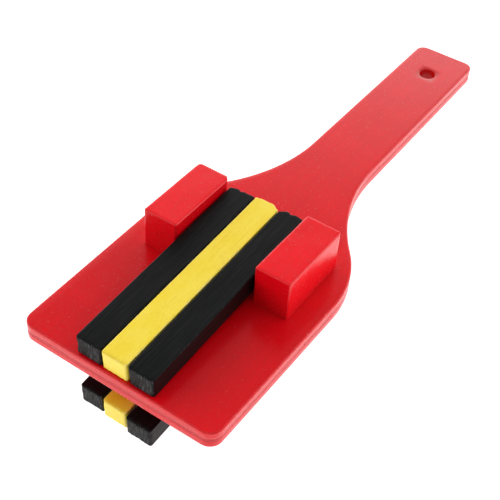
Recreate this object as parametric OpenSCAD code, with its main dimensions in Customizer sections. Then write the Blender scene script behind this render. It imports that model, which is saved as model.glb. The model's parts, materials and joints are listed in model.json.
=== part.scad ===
// Wooden hand clapper: a painted paddle with three swinging bars on each face.
// Shaking the handle makes the bars slap the paddle. Millimetres, +Z up.
// The clapper stands on its two lower blocks: Z = 0 is their underside, X = 0 is the
// centre line, and Y runs from the panel's front edge (negative) to the handle (positive).

/* [Paddle] */
// Width of the striking panel, at its shoulders
panel_w = 81; // [78:0.5:90]
// Width of the striking panel, at its front edge
panel_front_w = 80.2; // [76:0.2:90]
// Length from the panel's front edge to the handle's end
paddle_l = 235.2; // [226:0.2:260]
// Thickness of the plywood board
paddle_t = 7.2; // [6:0.1:9]
// Radius of the panel's front corners
panel_corner_r = 5; // [2:0.5:8]

/* [Handle] */
// Width of the handle, at the neck
handle_w = 27.8; // [24:0.2:30]
// Width of the handle, at its end
handle_end_w = 27; // [24:0.2:30]
// Radius of the handle's end corners
handle_corner_r = 4; // [2:0.5:6]
// Straight side of the panel before its shoulders curve in
shoulder_y = 70.8; // [66:0.2:76]
// Radius of the panel's shoulders, curving out
shoulder_r = 41; // [38:1:44]
// Radius of the neck, curving in to the handle
neck_r = 72; // [66:1:76]
// Diameter of the hanging hole
hang_hole_d = 7; // [5:0.5:9]
// Distance from the handle's end to the hole's centre
hang_hole_inset = 19.2; // [15:0.2:24]

/* [Blocks] */
// Width of each block, across the paddle
block_w = 14.2; // [12:0.2:15]
// Length of each block, along the paddle
block_l = 33; // [30:0.5:36]
// Height of each block off the paddle's face
block_h = 16.8; // [16:0.2:18]
// Clear width between a pair of blocks
block_gap = 33.2; // [33:0.2:35]
// Distance from the panel's front edge to the blocks
block_y = 54.6; // [52:0.2:56]
// Radius of the blocks' outer edges
block_edge_r = 1.2; // [0.6:0.1:2]

/* [Bars] */
// Thickness of each bar
bar_t = 8.5; // [7.5:0.1:9]
// Distance from the panel's front edge to the upper bars' front ends
bar_front_y = 0.8; // [0.3:0.1:3]
// Distance that the bars reach back past the blocks
bar_back_reach = 0.9; // [0:0.1:2]
// Radius of the bars' end edges
bar_edge_r = 0.6; // [0.4:0.1:1]
// Widths of the upper bars, left to right
upper_bar_w = [10.3, 10.3, 10.3]; // [9:0.1:10.5]
// Space between neighbouring upper bars
upper_bar_gap = 0.4; // [0.3:0.05:0.8]
// Widths of the lower bars, left to right
lower_bar_w = [9.4, 9.8, 10.4]; // [9:0.1:10.5]
// Space between neighbouring lower bars
lower_bar_gap = 0.75; // [0.3:0.05:0.8]
// Distance that the lower bars have slid to the right on their pin
lower_bar_slide = 0.3; // [-0.4:0.1:0.4]
// How much further forward each lower bar reaches than the upper ones, left to right
lower_bar_lead = [0.3, 0.9, 1.9]; // [0:0.1:2]

/* [Pins] */
// Diameter of the steel pivot pins
pin_d = 3; // [2:0.5:4]
// Depth of the blind pin holes in the blocks
pin_hole_depth = 9; // [6:0.5:11]
// Running clearance between a pin and a bar's bore, on the radius
bore_clearance = 0.1; // [0.05:0.01:0.1]

/* [Hidden] */
$fn = 96;
cut = 1; // how far a cutting shape runs past the solid it cuts
seat_gap = 0.05; // daylight left under a bar that rests on a face
pin_end_gap = 0.5; // space left at each end of a pin in its blind hole
pin_chamfer = 0.3; // bevel on a pin's ends

// The longest lower bar may reach past the panel's front edge, so it sets the front of the whole.
overhang = max(0, max(lower_bar_lead) - bar_front_y);
front_y = (overhang - paddle_l) / 2;
block_front_y = front_y + block_y;
paddle_base_z = block_h;
paddle_top_z = block_h + paddle_t;
block_x = (block_gap + block_w) / 2;

// The pivots run through the middle of the blocks.
pivot_y = block_front_y + block_l / 2;
pivot_h = block_h / 2;
upper_pivot_z = paddle_top_z + pivot_h;
lower_pivot_z = block_h - pivot_h;

// An upper bar's reach from its pivot to its front end, and any bar's to its back end.
bar_nose = pivot_y - front_y - bar_front_y;
bar_tail = block_l / 2 + bar_back_reach;

// The droop that lets a bar's lower front edge rest on the face below it.
function droop(nose) =
    asin((pivot_h - bar_edge_r - seat_gap) / norm([nose - bar_edge_r, bar_t / 2 - bar_edge_r]))
    - atan2(bar_t / 2 - bar_edge_r, nose - bar_edge_r);

// The circular segment between p0 and p1 on a circle of radius r about c.
module arc_segment(c, r, p0, p1) {
    middle = (p0 + p1) / 2;
    beyond = c + (middle - c) * (2 * r / norm(middle - c));
    intersection() {
        translate(c) circle(r);
        polygon([p0, beyond, p1]);
    }
}

// A rectangle from corner a to corner b, with its four corners rounded to radius r.
module rounded_rect(a, b, r) {
    polygon([
        [a.x + r, a.y], [b.x - r, a.y], [b.x, a.y + r], [b.x, b.y - r],
        [b.x - r, b.y], [a.x + r, b.y], [a.x, b.y - r], [a.x, a.y + r]
    ]);
    arc_segment([b.x - r, a.y + r], r, [b.x - r, a.y], [b.x, a.y + r]);
    arc_segment([b.x - r, b.y - r], r, [b.x, b.y - r], [b.x - r, b.y]);
    arc_segment([a.x + r, b.y - r], r, [a.x + r, b.y], [a.x, b.y - r]);
    arc_segment([a.x + r, a.y + r], r, [a.x, a.y + r], [a.x + r, a.y]);
}

// The right half of the paddle's outline, measured from the front edge's middle.
module paddle_half() {
    half_w = panel_w / 2;
    half_front = panel_front_w / 2;
    half_h = handle_w / 2;
    half_end = handle_end_w / 2;
    sweep = acos(1 - (half_w - half_h) / (shoulder_r + neck_r));
    shoulder_c = [half_w - shoulder_r, shoulder_y];
    shoulder_end = shoulder_c + shoulder_r * [cos(sweep), sin(sweep)];
    neck_y = shoulder_y + (shoulder_r + neck_r) * sin(sweep);
    neck_c = [half_h + neck_r, neck_y];
    difference() {
        polygon([
            [0, 0], [half_front - panel_corner_r, 0], [half_front, panel_corner_r],
            [half_w, shoulder_y], shoulder_end, [half_h, neck_y],
            [half_end, paddle_l - handle_corner_r], [half_end - handle_corner_r, paddle_l], [0, paddle_l]
        ]);
        arc_segment(neck_c, neck_r, shoulder_end, [half_h, neck_y]);
    }
    arc_segment(
        [half_front - panel_corner_r, panel_corner_r], panel_corner_r,
        [half_front - panel_corner_r, 0], [half_front, panel_corner_r]
    );
    arc_segment(shoulder_c, shoulder_r, [half_w, shoulder_y], shoulder_end);
    arc_segment(
        [half_end - handle_corner_r, paddle_l - handle_corner_r], handle_corner_r,
        [half_end, paddle_l - handle_corner_r], [half_end - handle_corner_r, paddle_l]
    );
}

module paddle() {
    color("crimson")
    translate([0, front_y, paddle_base_z])
    difference() {
        linear_extrude(paddle_t) {
            paddle_half();
            mirror([1, 0]) paddle_half();
        }
        translate([0, paddle_l - hang_hole_inset, -cut])
            cylinder(d = hang_hole_d, h = paddle_t + 2 * cut);
    }
}

// A solid swept along X from x0, whose children are its side view, drawn as [Y, Z].
module sweep_x(x0, width) {
    translate([x0, 0, 0])
        rotate([90, 0, 90])
            linear_extrude(width)
                children();
}

// One block: side is -1 for left and 1 for right, level is -1 below the paddle and 1 above it.
module block(side, level) {
    face_z = level > 0 ? paddle_top_z : paddle_base_z - block_h;
    inner_x = side * block_gap / 2;
    color("red")
    difference() {
        sweep_x(side * block_x - block_w / 2, block_w)
            rounded_rect(
                [block_front_y, face_z],
                [block_front_y + block_l, face_z + block_h],
                block_edge_r
            );
        translate([inner_x - side * cut, pivot_y, face_z + pivot_h])
            rotate([0, side * 90, 0])
                cylinder(d = pin_d, h = pin_hole_depth + cut);
    }
}

module pin(level) {
    pin_l = block_gap + 2 * (pin_hole_depth - pin_end_gap);
    color("silver")
    translate([-pin_l / 2, pivot_y, level > 0 ? upper_pivot_z : lower_pivot_z])
        rotate([0, 90, 0]) {
            cylinder(d1 = pin_d - 2 * pin_chamfer, d2 = pin_d, h = pin_chamfer);
            translate([0, 0, pin_chamfer])
                cylinder(d = pin_d, h = pin_l - 2 * pin_chamfer);
            translate([0, 0, pin_l - pin_chamfer])
                cylinder(d1 = pin_d, d2 = pin_d - 2 * pin_chamfer, h = pin_chamfer);
        }
}

// One bar from x0 to x0 + width, drooping about its pivot until it rests on the face below it.
module bar(x0, width, nose, level) {
    translate([0, pivot_y, level > 0 ? upper_pivot_z : lower_pivot_z])
        rotate([droop(nose), 0, 0])
            sweep_x(x0, width)
                difference() {
                    rounded_rect([-nose, -bar_t / 2], [bar_tail, bar_t / 2], bar_edge_r);
                    circle(pin_d / 2 + bore_clearance);
                }
}

// The left sides of three bars of widths w, packed gap apart about the line x = middle.
function bar_sides(w, gap, middle) =
    let (left = middle - gap - (w[0] + w[1] + w[2]) / 2)
    [left, left + w[0] + gap, left + w[0] + w[1] + 2 * gap];

// One upper or lower bar: i is 0 for left, 1 for centre and 2 for right.
module upper_bar(i) {
    color(i == 1 ? "gold" : "#222222")
        bar(bar_sides(upper_bar_w, upper_bar_gap, 0)[i], upper_bar_w[i], bar_nose, 1);
}

module lower_bar(i) {
    color(i == 1 ? "gold" : "#222222")
        bar(
            bar_sides(lower_bar_w, lower_bar_gap, lower_bar_slide)[i], lower_bar_w[i],
            bar_nose + lower_bar_lead[i], -1
        );
}

paddle();
block(-1, 1);  // upper_left_block
block(1, 1);  // upper_right_block
block(-1, -1);  // lower_left_block
block(1, -1);  // lower_right_block
pin(1);  // upper_pin
pin(-1);  // lower_pin
upper_bar(0);  // upper_left_bar
upper_bar(1);  // upper_centre_bar
upper_bar(2);  // upper_right_bar
lower_bar(0);  // lower_left_bar
lower_bar(1);  // lower_centre_bar
lower_bar(2);  // lower_right_bar
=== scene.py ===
import json
from math import acos, atan2, copysign, cos, hypot, pi, radians, sin, sqrt, tan

import bpy
from mathutils import Matrix, Vector, noise


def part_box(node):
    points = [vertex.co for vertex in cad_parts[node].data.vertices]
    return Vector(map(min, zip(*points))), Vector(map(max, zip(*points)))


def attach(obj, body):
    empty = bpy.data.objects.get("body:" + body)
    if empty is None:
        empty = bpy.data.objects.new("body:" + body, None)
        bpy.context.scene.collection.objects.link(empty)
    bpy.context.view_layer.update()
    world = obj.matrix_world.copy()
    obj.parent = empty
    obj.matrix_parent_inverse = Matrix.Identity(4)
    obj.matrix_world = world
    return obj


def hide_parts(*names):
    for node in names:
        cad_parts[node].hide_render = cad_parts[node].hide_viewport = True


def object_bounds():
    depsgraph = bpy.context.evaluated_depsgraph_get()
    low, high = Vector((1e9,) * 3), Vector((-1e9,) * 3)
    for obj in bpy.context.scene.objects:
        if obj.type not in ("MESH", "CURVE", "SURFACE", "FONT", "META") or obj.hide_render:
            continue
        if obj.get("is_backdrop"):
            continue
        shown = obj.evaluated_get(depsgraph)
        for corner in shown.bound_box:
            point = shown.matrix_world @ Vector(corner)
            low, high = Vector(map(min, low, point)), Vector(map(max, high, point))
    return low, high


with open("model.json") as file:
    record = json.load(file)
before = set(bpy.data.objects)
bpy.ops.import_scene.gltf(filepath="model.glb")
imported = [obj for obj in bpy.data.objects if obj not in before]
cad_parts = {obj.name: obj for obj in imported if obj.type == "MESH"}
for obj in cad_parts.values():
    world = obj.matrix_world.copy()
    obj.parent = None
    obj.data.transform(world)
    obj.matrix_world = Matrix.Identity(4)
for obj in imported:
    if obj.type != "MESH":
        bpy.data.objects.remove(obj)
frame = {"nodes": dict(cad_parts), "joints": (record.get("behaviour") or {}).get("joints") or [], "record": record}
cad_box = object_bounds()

# A wooden hand clapper: a red paddle, four red blocks, six swinging bars and two steel pins.
# Every CAD node is replaced by a finer mesh of the same size. Lengths are in metres.
MM = 0.001
SIDES = ("left", "centre", "right")
LEVELS = ("upper", "lower")

# ---------------------------------------------------------------- paddle outline, as designed
PANEL_FRONT_W = 80.2 * MM  # the panel widens a little from its front edge to its shoulders
HANDLE_W = 27.8 * MM  # at the neck
HANDLE_END_W = 27 * MM
PANEL_CORNER_R = 5 * MM
HANDLE_CORNER_R = 4 * MM
SHOULDER_Y = 70.8 * MM  # from the front edge to where the shoulders start
SHOULDER_R = 41 * MM
NECK_R = 72 * MM

# ---------------------------------------------------------------- camera
CAMERA_AZIMUTH = 31.61
CAMERA_ELEVATION = 44.0
CAMERA_ROLL = 4.37
CAMERA_DISTANCE = 0.3862
CAMERA_LENS = 76.76
CAMERA_SENSOR = 36
AIM_RIGHT = 1.5 * MM  # the point aimed at, right of the paddle's centre line
AIM_BACK = 75.2 * MM  # and back from its front edge, on its top face


# ================================================================ small helpers
def lerp(a, b, t):
    return a + (b - a) * t


def smoothstep(low, high, x):
    t = min(1.0, max(0.0, (x - low) / (high - low)))
    return t * t * (3 - 2 * t)


def spread(a, b, count):
    """count + 1 even steps from a to b, both included."""
    return [lerp(a, b, i / count) for i in range(count + 1)]


def new_object(name, vertices, faces, edges=()):
    """edges, when given, has a value per vertex: 1 on rounded edges, 0 on flats, -1 in the hole."""
    mesh = bpy.data.meshes.new(name)
    mesh.from_pydata(vertices, [], faces)
    if edges:
        mesh.attributes.new("edge", "FLOAT", "POINT").data.foreach_set("value", edges)
    mesh.validate()
    mesh.shade_smooth()
    piece = bpy.data.objects.new(name, mesh)
    bpy.context.scene.collection.objects.link(piece)
    return piece


def stand_for(piece, node, body, material):
    """Puts the finished piece in the frame, in place of its CAD node."""
    piece.data.materials.append(material)
    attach(piece, body)
    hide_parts(node)


def joint_of(body):
    return next(j for j in frame["joints"] if j["child"] == body)


# ================================================================ rounded boxes
def grid_lines(half, radius, step, arc_steps):
    """Where grid lines cross one axis of a rounded box: even on the flat, closer on the rounding."""
    flat = half - radius
    arc = [flat + radius * tan(pi / 4 * k / arc_steps) for k in range(1, arc_steps + 1)]
    middle = spread(-flat, flat, max(2, round(2 * flat / step)))
    return [-x for x in reversed(arc)] + middle + arc


def rounded_box(name, centre, half, radius, step, shape, arc_steps=3):
    """A closed box of quads. shape(point, normal, edge) moves each point; edge is as in new_object."""
    lines = [grid_lines(h, radius, s, arc_steps) for h, s in zip(half, step)]
    flats = [h - radius for h in half]
    last = [len(axis) - 1 for axis in lines]
    index, vertices, faces, edges = {}, [], [], []

    def vertex(key):
        if key not in index:
            corner = Vector(lines[a][key[a]] for a in range(3))
            core = Vector(max(-flats[a], min(flats[a], corner[a])) for a in range(3))
            normal = (corner - core).normalized()
            edges.append(min(1.0, (1 - max(abs(c) for c in normal)) / (1 - sqrt(0.5))))
            index[key] = len(vertices)
            vertices.append(shape(centre + core + radius * normal, normal, edges[-1]))
        return index[key]

    for a in range(3):
        b, c = (a + 1) % 3, (a + 2) % 3
        for side in (0, last[a]):
            for i in range(last[b]):
                for j in range(last[c]):
                    quad = []
                    for di, dj in ((0, 0), (1, 0), (1, 1), (0, 1)):
                        key = [0, 0, 0]
                        key[a], key[b], key[c] = side, i + di, j + dj
                        quad.append(vertex(tuple(key)))
                    faces.append(quad if side else quad[::-1])
    return new_object(name, vertices, faces, edges)


def rough(point, scale, seed):
    """Smooth noise from -1 to 1 with features about scale metres across, different for each seed."""
    return noise.noise(Vector(p / scale for p in point) + Vector((17.3 * seed, 5.1 * seed, 9.7 * seed)))


def round_off(u, v, radius):
    """How far to move a point to round off a square corner. u and v: how far it is past the two faces."""
    a, b = u + radius, v + radius
    length = hypot(a, b)
    if min(a, b) <= 0 or length <= radius:
        return 0.0, 0.0
    return a * (radius / length - 1), b * (radius / length - 1)


# ================================================================ the paddle
RIM_R = 0.7 * MM  # rounding of the paddle's long edges
HOLE_RIM_R = 0.35 * MM
COLUMNS = 24  # grid columns across the paddle
HOLE_COLUMNS = 10  # of which this many span the patch around the hanging hole


def outline_side(half_w, length, hole_y):
    """The right side of the outline, front to back: (x, y, normal x, normal y), y from the front edge."""
    half_front, half_h, half_end = PANEL_FRONT_W / 2, HANDLE_W / 2, HANDLE_END_W / 2
    sweep = acos(1 - (half_w - half_h) / (SHOULDER_R + NECK_R))
    neck_y = SHOULDER_Y + (SHOULDER_R + NECK_R) * sin(sweep)
    end_y = length - HANDLE_CORNER_R
    patch = half_h * HOLE_COLUMNS / COLUMNS
    points = []

    def arc(cx, cy, radius, start, end, count, outward=1):
        for a in spread(start, end, count)[:-1]:
            points.append((cx + radius * cos(a), cy + radius * sin(a), outward * cos(a), outward * sin(a)))

    def straight(x0, y0, x1, y1, start, end, count):
        """Part of the straight side from (x0, y0) to (x1, y1), between start and end along Y."""
        for y in spread(start, end, count)[:-1]:
            points.append((lerp(x0, x1, (y - y0) / (y1 - y0)), y, 1, 0))

    arc(half_front - PANEL_CORNER_R, PANEL_CORNER_R, PANEL_CORNER_R, -pi / 2, 0, 8)
    straight(half_front, PANEL_CORNER_R, half_w, SHOULDER_Y, PANEL_CORNER_R, SHOULDER_Y, 32)
    arc(half_w - SHOULDER_R, SHOULDER_Y, SHOULDER_R, 0, sweep, 16)
    arc(half_h + NECK_R, neck_y, NECK_R, pi + sweep, pi, 28, outward=-1)
    handle = (half_h, neck_y, half_end, end_y)
    straight(*handle, neck_y, hole_y - patch, 34)
    straight(*handle, hole_y - patch, hole_y + patch, HOLE_COLUMNS)
    straight(*handle, hole_y + patch, end_y, 6)
    arc(half_end - HANDLE_CORNER_R, end_y, HANDLE_CORNER_R, 0, pi / 2, 8)
    points.append((half_end - HANDLE_CORNER_R, length, 0, 1))
    return points


def make_paddle(name, material):
    low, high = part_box("paddle")
    mount = next(m for m in frame["record"]["mounts"] if m["name"] == "hang_hole")
    hole_r = mount["dims"]["r_mm"] * MM
    hole_y = mount["pos_m"][1] - low.y
    side = outline_side(high.x, high.y - low.y, hole_y)
    rows = len(side)
    vertices, faces, edges = [], [], []

    def add(x, y, z, edge=0.0):
        vertices.append((x, low.y + y, z))
        edges.append(edge)
        return len(vertices) - 1

    # The perimeter, anticlockwise from the front left corner: (x, y, normal x, normal y).
    front_x, back_x = side[0][0], side[-1][0]
    front = [(x, 0, 0, -1) for x in spread(-front_x, front_x, COLUMNS)[1:-1]]
    back = [(x, high.y - low.y, 0, 1) for x in spread(back_x, -back_x, COLUMNS)[1:-1]]
    left = [(-x, y, -nx, ny) for x, y, nx, ny in reversed(side)]
    perimeter = front + side + back + left

    def ply_dip(x, y, z):
        """How far the plywood's sawn and painted side lies below the ideal face: most in the middle ply."""
        middle = (low.z + high.z) / 2
        ply = 1 - smoothstep(0.7 * MM, 1.15 * MM, abs(z - middle + 0.25 * MM * rough((x, y, 0), 9 * MM, 3)))
        fibres = 0.5 + 0.5 * rough((x, y, z * 2.5), 1.6 * MM, 4)
        return (0.03 + 0.10 * ply * (0.4 + fibres) + 0.04 * fibres) * MM

    def ring(inset, z, dip=0.0, edge=0.0):
        made = []
        for x, y, nx, ny in perimeter:
            depth = inset + dip * ply_dip(x, y, z)
            made.append(add(x - nx * depth, y - ny * depth, z, edge))
        return made

    def rim_ring(a, z):
        return ring(RIM_R * (1 - sin(a)), z, sin(a), sin(2 * a))

    def bridge(a, b, inward=False):
        for i in range(len(a)):
            j = (i + 1) % len(a)
            quad = (a[i], b[i], b[j], a[j])
            faces.append(quad[::-1] if inward else quad)

    arc_steps = 6
    angles = spread(0, pi / 2, arc_steps)
    rings = [rim_ring(a, high.z - RIM_R * (1 - cos(a))) for a in angles]
    wall_rows = 14
    for z in spread(high.z - RIM_R, low.z + RIM_R, wall_rows)[1:-1]:
        rings.append(ring(0, z, 1))
    rings += [rim_ring(a, low.z + RIM_R * (1 - cos(a))) for a in reversed(angles)]
    for a, b in zip(rings, rings[1:]):
        bridge(a, b)

    # Each face is a ladder of rows between the two sides, around a square patch that holds the hole.
    patch_first = (COLUMNS - HOLE_COLUMNS) // 2
    patch_y = hole_y - HANDLE_W / 2 * HOLE_COLUMNS / COLUMNS
    patch_row = next(i for i, p in enumerate(side) if p[1] > patch_y - 1e-6)
    n_front = len(front)

    def face_grid(rim, z):
        right = rim[n_front:n_front + rows]
        left_side = rim[-rows:][::-1]
        grid = []
        for r in range(rows):
            if r == 0:
                grid.append([left_side[0]] + rim[:n_front] + [right[0]])
            elif r == rows - 1:
                grid.append([left_side[-1]] + rim[n_front + rows:-rows][::-1] + [right[-1]])
            else:
                x0, x1 = vertices[left_side[r]][0], vertices[right[r]][0]
                y = vertices[right[r]][1] - low.y
                inner = [add(x, y, z) for x in spread(x0, x1, COLUMNS)[1:-1]]
                grid.append([left_side[r]] + inner + [right[r]])
        return grid

    def face_quads(grid, upward):
        patch_rows = range(patch_row, patch_row + HOLE_COLUMNS)
        patch_columns = range(patch_first, patch_first + HOLE_COLUMNS)
        for r in range(rows - 1):
            for c in range(COLUMNS):
                if r in patch_rows and c in patch_columns:
                    continue
                quad = (grid[r][c], grid[r][c + 1], grid[r + 1][c + 1], grid[r + 1][c])
                faces.append(quad if upward else quad[::-1])
        first, end = patch_first, patch_first + HOLE_COLUMNS
        bottom, top = patch_row, patch_row + HOLE_COLUMNS
        border = [grid[bottom][c] for c in range(first, end)]
        border += [grid[r][end] for r in range(bottom, top)]
        border += [grid[top][c] for c in range(end, first, -1)]
        border += [grid[r][first] for r in range(top, bottom, -1)]
        return border

    def hole_ring(radius, z):
        count = 4 * HOLE_COLUMNS
        angles = [-3 * pi / 4 + 2 * pi * i / count for i in range(count)]
        return [add(radius * cos(a), hole_y + radius * sin(a), z, -1.0) for a in angles]

    top_border = face_quads(face_grid(rings[0], high.z), True)
    bottom_border = face_quads(face_grid(rings[-1], low.z), False)
    arc = [(HOLE_RIM_R * (1 - sin(a)), HOLE_RIM_R * (1 - cos(a))) for a in spread(0, pi / 2, 4)]
    hole = [top_border]
    hole += [hole_ring(hole_r + out, high.z - down) for out, down in arc]
    hole += [hole_ring(hole_r + out, low.z + down) for out, down in reversed(arc)]
    hole.append(bottom_border)
    for a, b in zip(hole, hole[1:]):
        bridge(a, b, inward=True)
    piece = new_object(name, vertices, faces, edges)
    stand_for(piece, "paddle", "paddle", material)
    return piece


# ================================================================ blocks
BLOCK_EDGE_R = 0.6 * MM
BLOCK_DIP = 0.03 * MM  # mean unevenness of a block's faces
BLOCK_WEAR = 0.22 * MM  # deepest wear on a block's edges
# Radii of the back's vertical edges and of the edge across its top. The left block is sanded rounder.
BLOCK_SANDED = {"left": (3.2 * MM, 0.8 * MM), "right": (1.4 * MM, 0.6 * MM)}


def make_block(node, side_name, material, seed):
    back_r, top_r = BLOCK_SANDED[side_name]
    low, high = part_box(node)
    centre, half = (low + high) / 2, (high - low) / 2
    out = copysign(1, centre.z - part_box("paddle")[0].z)  # away from the paddle's face

    def shape(point, normal, edge):
        flat = Vector((normal.x, normal.y, 0))
        if normal.z * out < 0 and flat.length > 1e-6:
            # The foot stays square, because the paint fills the joint with the paddle.
            point += BLOCK_EDGE_R * (flat.normalized() - flat)
            normal, edge = flat.normalized(), 0.0
        wear = 0.5 + 0.5 * rough(point, 5 * MM, seed)
        dip = BLOCK_DIP * (1 + rough(point, 7 * MM, seed + 1))
        point = point - normal * (dip + BLOCK_WEAR * edge * wear)
        side = copysign(1, point.x - centre.x)
        dx, dy = round_off(side * (point.x - centre.x) - half.x, point.y - high.y, back_r)
        point += Vector((side * dx, dy, 0))
        dy, dz = round_off(point.y - high.y, out * (point.z - centre.z) - half.z, top_r)
        return point + Vector((0, dy, out * dz))

    piece = rounded_box(node + "_wood", centre, half, BLOCK_EDGE_R, (0.6 * MM,) * 3, shape)
    stand_for(piece, node, "paddle", material)
    return piece


# ================================================================ bars
BAR_EDGE_R = 0.4 * MM
BAR_STEP = (0.45 * MM, 0.7 * MM, 0.45 * MM)
REAR_REACH = 4 * MM  # how far from its rear end a bar's uneven cut is felt
BAR_DIP = 0.04 * MM  # mean unevenness of a bar's faces
BAR_DIP_SWING = 0.03 * MM
BAR_WEAR = 0.8 * MM  # deepest wear on a bar's edges
SAW_MARKS = 0.06 * MM  # depth of the saw marks across its ends
NOSE_SIDE_R = 1.25 * MM  # rounding of the front end's upright edges, give or take NOSE_SIDE_SWING
NOSE_SIDE_SWING = 0.5 * MM
NOSE_EDGE_R = 0.9 * MM  # the same for its top and bottom edges
NOSE_EDGE_SWING = 0.6 * MM
# The rear ends aren't sawn square. Depths are in millimetres, and places across a bar run from its
# left side (0) to its right side (1).
REAR_SHORT = {"left": 1, "centre": 0.2, "right": 0.2}  # how far the whole end is cut short
BROKEN_CORNERS = {"left": (0.8, 0), "centre": (0.6, 1.5), "right": (1.5, 0.5)}  # left and right depths
CORNER_REACH = 0.3  # how far across the bar a broken corner reaches
NOTCH = {"left": 0.6, "centre": 0, "right": 0.6}  # depth of the torn notch near the middle
NOTCH_AT = 0.45
NOTCH_HALF = 0.12


def rear_cut(side, across):
    """How far the rear end is cut back at this place across the bar, in metres."""
    at_left, at_right = BROKEN_CORNERS[side]
    depth = REAR_SHORT[side]
    depth += at_left * (1 - smoothstep(0, CORNER_REACH, across))
    depth += at_right * smoothstep(1 - CORNER_REACH, 1, across)
    depth += NOTCH[side] * (1 - smoothstep(0, NOTCH_HALF, abs(across - NOTCH_AT)))
    return depth * MM


def bar_frame(node):
    """The bar's own frame, its origin on the pivot and its Y along the bar, and its corners there."""
    mesh = frame["nodes"][node].data
    flats = [p for p in mesh.polygons if abs(p.normal.x) < 0.5]
    top = max(flats, key=lambda p: p.area).normal
    droop = atan2(-top.y * copysign(1, top.z), abs(top.z))
    pivot = Vector(joint_of(node)["pos_m"])
    matrix = Matrix.Translation(pivot) @ Matrix.Rotation(droop, 4, "X")
    points = [matrix.inverted() @ v.co for v in mesh.vertices]
    low = Vector(min(p[a] for p in points) for a in range(3))
    high = Vector(max(p[a] for p in points) for a in range(3))
    return matrix, low, high


def make_bar(node, side, level, material, seed):
    matrix, low, high = bar_frame(node)
    centre, half = (low + high) / 2, (high - low) / 2
    # The lower bars' rear ends don't show, so they take the upper ones' shapes in another order.
    cut_like = side if level == "upper" else SIDES[(SIDES.index(side) + 1) % 3]

    def shape(point, normal, edge):
        across = (point.x - low.x) / (high.x - low.x)
        end = abs(normal.y)
        wear = max(0.0, rough(point, 3 * MM, seed)) ** 2
        saw = rough((point.x * 3, point.y, point.z * 0.5), 1.1 * MM, seed + 1)
        depth = BAR_DIP + BAR_DIP_SWING * rough((point.x, point.y * 0.3, point.z), 3 * MM, seed + 2)
        depth += BAR_WEAR * edge * wear + SAW_MARKS * end * (1 + saw)
        point = point - normal * depth
        for x, side_sign in ((low.x, -1), (high.x, 1)):
            radius = NOSE_SIDE_R + NOSE_SIDE_SWING * rough((side_sign, point.z, seed), 3 * MM, seed + 4)
            dx, dy = round_off(side_sign * (point.x - x), low.y - point.y, radius)
            point += Vector((side_sign * dx, -dy, 0))
        for z, up in ((low.z, -1), (high.z, 1)):
            radius = NOSE_EDGE_R + NOSE_EDGE_SWING * rough((point.x, up, seed), 1.4 * MM, seed + 5)
            dy, dz = round_off(low.y - point.y, up * (point.z - z), radius)
            point += Vector((0, -dy, up * dz))
        rear = smoothstep(high.y - REAR_REACH, high.y, point.y)
        lift = 0.15 * MM * rough(point, 2.2 * MM, seed + 3)
        point.y -= rear * (rear_cut(cut_like, across) + lift)
        return point

    piece = rounded_box(node + "_wood", centre, half, BAR_EDGE_R, BAR_STEP, shape)
    piece.matrix_world = matrix
    stand_for(piece, node, node, material)
    return piece


# ================================================================ pins
def make_pin(node, material):
    low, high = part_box(node)
    centre = (low + high) / 2
    radius, bevel = (high.y - low.y) / 2, 0.35 * MM
    count = 48
    stations = [(low.x, radius - bevel), (low.x + bevel, radius)]
    stations += [(x, radius) for x in spread(low.x + bevel, high.x - bevel, 40)[1:-1]]
    stations += [(high.x - bevel, radius), (high.x, radius - bevel)]
    vertices, faces = [], []
    for x, r in stations:
        for i in range(count):
            a = 2 * pi * i / count
            vertices.append((x, centre.y + r * cos(a), centre.z + r * sin(a)))
    for s in range(len(stations) - 1):
        for i in range(count):
            j = (i + 1) % count
            faces.append((s * count + i, s * count + j, (s + 1) * count + j, (s + 1) * count + i))
    faces.append(tuple(reversed(range(count))))
    faces.append(tuple(range(len(vertices) - count, len(vertices))))
    piece = new_object(node + "_wire", vertices, faces)
    stand_for(piece, node, "paddle", material)
    return piece


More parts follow.
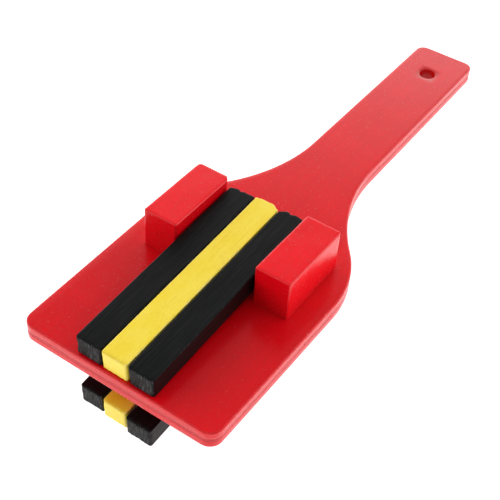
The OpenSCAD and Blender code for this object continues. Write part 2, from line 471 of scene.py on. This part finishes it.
# ================================================================ materials
class Nodes:
    """Adds nodes to one node tree. An input given as a socket is linked, and any other value is set."""

    def __init__(self, tree):
        self.tree = tree

    def put(self, socket, value):
        if isinstance(value, bpy.types.NodeSocket):
            self.tree.links.new(value, socket)
        else:
            socket.default_value = value

    def add(self, kind, inputs, output=0, **settings):
        node = self.tree.nodes.new("ShaderNode" + kind)
        for key, value in settings.items():
            setattr(node, key, value)
        for key, value in inputs.items():
            self.put(node.inputs[key], value)
        return node.outputs[output]

    def coordinates(self, output="Object"):
        return self.add("TexCoord", {}, output)

    def parts(self, vector):
        """The X, Y and Z sockets of a vector."""
        return [self.add("SeparateXYZ", {0: vector}, axis) for axis in range(3)]

    def math(self, operation, a, b=0.0):
        return self.add("Math", {0: a, 1: b}, operation=operation)

    def ramp(self, value, low, high, start=0.0, end=1.0):
        """start below low, end above high, and a smooth rise between them."""
        sockets = {"Value": value, "From Min": low, "From Max": high, "To Min": start, "To Max": end}
        return self.add("MapRange", sockets, interpolation_type="SMOOTHSTEP")

    def blend(self, amount, a, b):
        """Colour a where amount is 0 and b where it is 1."""
        colours = [c if isinstance(c, bpy.types.NodeSocket) else (*c, 1) for c in (a, b)]
        return self.add("Mix", {0: amount, 6: colours[0], 7: colours[1]}, 2, data_type="RGBA")

    def noise(self, size, detail=2.0, offset=(0, 0, 0), distortion=0.0):
        """Noise with features about size metres across. size may be one length or three, for X, Y and Z."""
        sizes = size if isinstance(size, tuple) else (size,) * 3
        mapping = {"Vector": self.coordinates(), "Location": offset, "Scale": [1 / v for v in sizes]}
        scaled = self.add("Mapping", mapping)
        look = {"Scale": 1.0, "Detail": detail, "Roughness": 0.55, "Distortion": distortion}
        return self.add("TexNoise", {"Vector": scaled, **look})

    def bump(self, height, depth, normal=None):
        """A bumpy normal, where height goes from 0 to 1 over depth metres."""
        sockets = {"Height": height, "Distance": depth, "Strength": 1.0}
        if normal:
            sockets["Normal"] = normal
        return self.add("Bump", sockets)

    def facing(self, axis):
        """1 where the surface faces along the piece's own axis, either way, and 0 where it faces across."""
        along_axis = self.parts(self.coordinates("Normal"))[axis]
        return self.ramp(self.math("ABSOLUTE", along_axis), 0.55, 0.85)

    def edge(self):
        return self.add("Attribute", {}, "Fac", attribute_name="edge")


def new_material(name, uniform):
    """A material, its node helper and its shader, whose uniform values are set by name."""
    material = bpy.data.materials.new(name)
    material.use_nodes = True
    shader = material.node_tree.nodes["Principled BSDF"]
    for key, value in uniform.items():
        shader.inputs[key].default_value = value
    return material, Nodes(material.node_tree), shader


BOARD_RED = (0.71, 0.001, 0.006)
BLOCK_RED = (0.82, 0.002, 0.008)
RED_PALE = (0.90, 0.03, 0.032)
HOLE_SHADE_RED = (0.5, 0.0005, 0.001)  # painted shade: the hanging hole's wall is painted darker, for the shade inside the hole
EDGE_ROUGHNESS = 0.22  # the paint on rounded edges is sanded duller than on flats
RED_CHIP = (0.80, 0.30, 0.24)  # primer and bare wood where the paint is chipped


def red_paint(name, red, grain_size, plies_at=None):
    """Brushed gloss paint on wood. plies_at is the height of the middle ply, when it is on plywood."""
    material, n, shader = new_material(name, {"Specular IOR Level": 0.34})
    deep = tuple(0.84 * c for c in red)
    drift = n.noise(22 * MM, 2)
    mottle = n.noise(1.5 * MM, 1.2)
    fine = n.noise(0.7 * MM, 1, (3, 1, 2))
    grain = n.noise(grain_size, 2.5, (7, 2, 5), 0.6)
    colour = n.blend(n.ramp(drift, 0.3, 0.7, 0.4, 1), deep, red)
    colour = n.blend(n.ramp(mottle, 0.35, 0.7, 0, 0.45), colour, deep)
    colour = n.blend(n.ramp(grain, 0.45, 0.7, 0, 0.45), colour, deep)
    roughness = n.math("ADD", n.ramp(mottle, 0.25, 0.75, 0.18, 0.26), n.ramp(fine, 0.45, 0.8, 0, 0.05))
    roughness = n.math("ADD", roughness, n.ramp(n.edge(), 0.1, 0.7, 0, EDGE_ROUGHNESS))
    normal = n.bump(mottle, 0.028 * MM)
    normal = n.bump(grain, 0.02 * MM, normal)
    normal = n.bump(fine, 0.002 * MM, normal)
    worn = n.math("MULTIPLY", n.edge(), n.ramp(n.noise(3.5 * MM, 4, (1, 8, 4)), 0.52, 0.66))
    colour = n.blend(n.math("MULTIPLY", worn, 0.25), colour, RED_PALE)
    chips = n.math("MULTIPLY", n.edge(), n.ramp(n.noise(1.1 * MM, 3, (5, 5, 1)), 0.66, 0.69))
    colour = n.blend(n.math("MULTIPLY", chips, 0.8), colour, RED_CHIP)
    # Painted shade: where the edge value is -1, in the hanging hole, the paint is darkened to stand for the shade
    # inside it.
    hole = n.ramp(n.edge(), -0.9, -0.1, 1, 0)
    colour = n.blend(hole, colour, HOLE_SHADE_RED)
    if plies_at:
        side = n.math("SUBTRACT", 1.0, n.facing(2))
        streak = n.noise((14 * MM, 14 * MM, 0.5 * MM), 3, (2, 6, 9))
        wander = n.math("MULTIPLY", n.math("SUBTRACT", n.noise(12 * MM, 1), 0.5), 0.9 * MM)
        height = n.math("ADD", n.math("SUBTRACT", n.parts(n.coordinates())[2], plies_at), wander)
        ply = n.ramp(n.math("ABSOLUTE", height), 0.55 * MM, 1.15 * MM, 1, 0)
        ply = n.math("MULTIPLY", n.math("MULTIPLY", ply, side), n.ramp(streak, 0.3, 0.6, 0.45, 1))
        streaks = n.math("MULTIPLY", side, streak)
        colour = n.blend(n.math("MULTIPLY", ply, 0.9), colour, tuple(0.66 * c for c in red))
        roughness = n.math("ADD", roughness, n.math("MULTIPLY", ply, 0.22))
        lines = n.math("MULTIPLY", side, n.ramp(streak, 0.5, 0.66, 0, 0.35))
        colour = n.blend(lines, colour, RED_PALE)
        normal = n.bump(streaks, 0.12 * MM, normal)
    n.put(shader.inputs["Base Color"], colour)
    n.put(shader.inputs["Roughness"], roughness)
    n.put(shader.inputs["Normal"], normal)
    return material


BLACK = (0.0024, 0.0027, 0.0028)
BLACK_GREY = (0.0078, 0.0082, 0.0084)
BLACK_END = (0.06, 0.06, 0.06)
# Pale spots along the bars' edges: partly chipped paint, partly painted glints.
BLACK_CHIP_GLINT = (0.34, 0.33, 0.32)


def black_paint(name):
    """Thin black paint over open-grained wood, paler on the end grain, with pale spots along the edges that are
    partly chipped paint and partly painted glints.
    """
    material, n, shader = new_material(name, {"Specular IOR Level": 0.1})
    grain = n.noise((0.45 * MM, 16 * MM, 0.45 * MM), 5, (3, 3, 3), 0.3)
    blotch = n.noise((4 * MM, 18 * MM, 4 * MM), 2)
    fine = n.noise(0.4 * MM, 2, (1, 2, 3))
    end = n.facing(1)
    end_grain = n.noise((0.55 * MM, 0.55 * MM, 3.5 * MM), 4, (6, 1, 2))
    colour = n.blend(n.ramp(grain, 0.45, 0.7), BLACK, BLACK_GREY)
    colour = n.blend(n.ramp(blotch, 0.4, 0.7, 0, 0.5), colour, BLACK)
    ends = n.blend(n.ramp(end_grain, 0.46, 0.66), BLACK, BLACK_END)
    colour = n.blend(end, colour, ends)
    # Partly painted highlight: pale spots along the edges stand for chipped paint and for small white glints, most
    # of all on the ends.
    wear = n.noise((0.8 * MM, 1.6 * MM, 0.8 * MM), 3, (9, 4, 1))
    worn = n.math("MULTIPLY", n.edge(), n.ramp(wear, 0.58, 0.64))
    colour = n.blend(n.math("MULTIPLY", worn, n.ramp(end, 0, 0.5, 0.12, 0.7)), colour, BLACK_CHIP_GLINT)
    roughness = n.ramp(grain, 0.35, 0.7, 0.36, 0.5)
    roughness = n.math("ADD", roughness, n.math("MULTIPLY", end, n.ramp(end_grain, 0.3, 0.7, 0.02, 0.2)))
    normal = n.bump(grain, 0.06 * MM)
    normal = n.bump(n.math("MULTIPLY", end, n.ramp(end_grain, 0.38, 0.62)), 0.1 * MM, normal)
    normal = n.bump(fine, 0.012 * MM, normal)
    n.put(shader.inputs["Base Color"], colour)
    n.put(shader.inputs["Roughness"], roughness)
    n.put(shader.inputs["Normal"], normal)
    return material


YELLOW = (0.85, 0.635, 0.018)
YELLOW_DEEP = (0.76, 0.50, 0.008)
YELLOW_PALE = (0.90, 0.73, 0.10)
YELLOW_WORN = (0.95, 0.88, 0.62)


def yellow_paint(name):
    """Yellow paint over lengthwise grain, whitish where its edges are worn."""
    material, n, shader = new_material(name, {"Specular IOR Level": 0.42})
    grain = n.noise((0.6 * MM, 20 * MM, 0.6 * MM), 4, (4, 4, 4), 0.3)
    blotch = n.noise((5 * MM, 12 * MM, 5 * MM), 3)
    end = n.facing(1)
    end_grain = n.noise((0.6 * MM, 0.6 * MM, 3 * MM), 4, (6, 1, 2))
    colour = n.blend(n.ramp(blotch, 0.35, 0.7, 0, 0.35), YELLOW, YELLOW_PALE)
    colour = n.blend(n.ramp(grain, 0.52, 0.72, 0, 0.35), colour, YELLOW_DEEP)
    flecks = n.ramp(n.noise((0.8 * MM, 1.6 * MM, 0.8 * MM), 3, (5, 2, 7)), 0.5, 0.72, 0, 0.35)
    colour = n.blend(flecks, colour, YELLOW_DEEP)
    colour = n.blend(n.math("MULTIPLY", end, n.ramp(end_grain, 0.3, 0.65, 0.35, 0.8)), colour, YELLOW_PALE)
    worn = n.math("MULTIPLY", n.edge(), n.ramp(n.noise((2 * MM, 6 * MM, 2 * MM), 4, (9, 4, 1)), 0.4, 0.62))
    colour = n.blend(n.math("MULTIPLY", worn, 0.7), colour, YELLOW_WORN)
    roughness = n.ramp(grain, 0.35, 0.7, 0.42, 0.56)
    normal = n.bump(grain, 0.035 * MM)
    normal = n.bump(n.math("MULTIPLY", end, end_grain), 0.08 * MM, normal)
    normal = n.bump(n.noise(0.8 * MM, 2), 0.012 * MM, normal)
    n.put(shader.inputs["Base Color"], colour)
    n.put(shader.inputs["Roughness"], roughness)
    n.put(shader.inputs["Normal"], normal)
    return material


STEEL = (0.56, 0.55, 0.53)
STEEL_DULL = (0.34, 0.32, 0.30)


def drawn_steel(name):
    """Wire with fine drawing lines along it and a little dull tarnish."""
    material, n, shader = new_material(name, {"Metallic": 1.0})
    lines = n.noise((30 * MM, 0.12 * MM, 0.12 * MM), 2)
    tarnish = n.noise(2.5 * MM, 4)
    n.put(shader.inputs["Base Color"], n.blend(n.ramp(tarnish, 0.45, 0.7), STEEL, STEEL_DULL))
    roughness = n.math("ADD", n.ramp(tarnish, 0.4, 0.75, 0.24, 0.4), n.ramp(lines, 0.3, 0.7, 0, 0.1))
    n.put(shader.inputs["Roughness"], roughness)
    n.put(shader.inputs["Normal"], n.bump(lines, 0.01 * MM))
    return material


paddle_low, paddle_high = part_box("paddle")
middle_ply = (paddle_low.z + paddle_high.z) / 2
board_red = red_paint("board_red", BOARD_RED, (1.3 * MM, 26 * MM, 1.3 * MM), middle_ply)
block_red = red_paint("block_red", BLOCK_RED, (1.1 * MM, 14 * MM, 1.1 * MM))
black = black_paint("bar_black")
yellow = yellow_paint("bar_yellow")
steel = drawn_steel("pin_steel")

make_paddle("paddle_board", board_red)
seed = 10
for level in LEVELS:
    make_pin(level + "_pin", steel)
    for side in ("left", "right"):
        seed += 10
        make_block(f"{level}_{side}_block", side, block_red, seed)
    for side in SIDES:
        seed += 10
        make_bar(f"{level}_{side}_bar", side, level, yellow if side == "centre" else black, seed)


# ================================================================ stage
FLOOR_WHITE = (0.6, 0.6, 0.6)
FLOOR_GLOW = 0.95  # a lit white sweep, so that shadows on it stay faint


def make_floor():
    size = 3.0
    corners = [(-size, -size, 0), (size, -size, 0), (size, size, 0), (-size, size, 0)]
    floor = new_object("floor", corners, [(0, 1, 2, 3)])
    uniform = {"Base Color": (*FLOOR_WHITE, 1), "Roughness": 0.9, "Emission Color": (1, 1, 1, 1)}
    uniform["Emission Strength"] = FLOOR_GLOW
    floor.data.materials.append(new_material("floor_white", uniform)[0])
    floor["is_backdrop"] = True


def make_camera():
    low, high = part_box("paddle")
    aim = Vector(((low.x + high.x) / 2 + AIM_RIGHT, low.y + AIM_BACK, high.z))
    azimuth, elevation = radians(CAMERA_AZIMUTH), radians(CAMERA_ELEVATION)
    back = Vector((sin(azimuth) * cos(elevation), -cos(azimuth) * cos(elevation), sin(elevation)))
    data = bpy.data.cameras.new("camera")
    data.sensor_width = CAMERA_SENSOR
    data.lens = CAMERA_LENS
    camera = bpy.data.objects.new("camera", data)
    bpy.context.scene.collection.objects.link(camera)
    level_view = (-back).to_track_quat("-Z", "Y").to_matrix().to_4x4()
    rolled = level_view @ Matrix.Rotation(radians(CAMERA_ROLL), 4, "Z")
    camera.matrix_world = Matrix.Translation(aim + back * CAMERA_DISTANCE) @ rolled
    bpy.context.scene.camera = camera


HORIZON_LIGHT = 3.8  # a low ring of soft light, brightest behind the clapper as the camera sees it
OVERHEAD_LIGHT = 0.5  # a soft strip overhead, from left to right
FRONT_FILL = 0.35


def make_world():
    world = bpy.data.worlds.new("studio")
    world.use_nodes = True
    n = Nodes(world.node_tree)
    x, y, z = n.parts(n.coordinates("Generated"))
    azimuth = radians(CAMERA_AZIMUTH)
    away = n.math("SUBTRACT", n.math("MULTIPLY", y, cos(azimuth)), n.math("MULTIPLY", x, sin(azimuth)))
    ring = n.math("MULTIPLY", n.ramp(z, 0.35, 0.71, HORIZON_LIGHT, 0), n.ramp(z, 0.05, 0.35, 0.3, 1))
    ring = n.math("MULTIPLY", ring, n.ramp(away, -0.95, 0.8))
    strip = n.ramp(n.math("ABSOLUTE", away), 0.15, 0.62, OVERHEAD_LIGHT, 0)
    strength = n.math("ADD", n.math("ADD", ring, strip), FRONT_FILL)
    n.put(world.node_tree.nodes["Background"].inputs["Strength"], strength)
    world.node_tree.nodes["Background"].inputs["Color"].default_value = (1, 1, 1, 1)
    bpy.context.scene.world = world


make_floor()
make_camera()
make_world()
bpy.context.scene.view_settings.view_transform = "Standard"

[[list(corner) for corner in box] for box in (cad_box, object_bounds())]
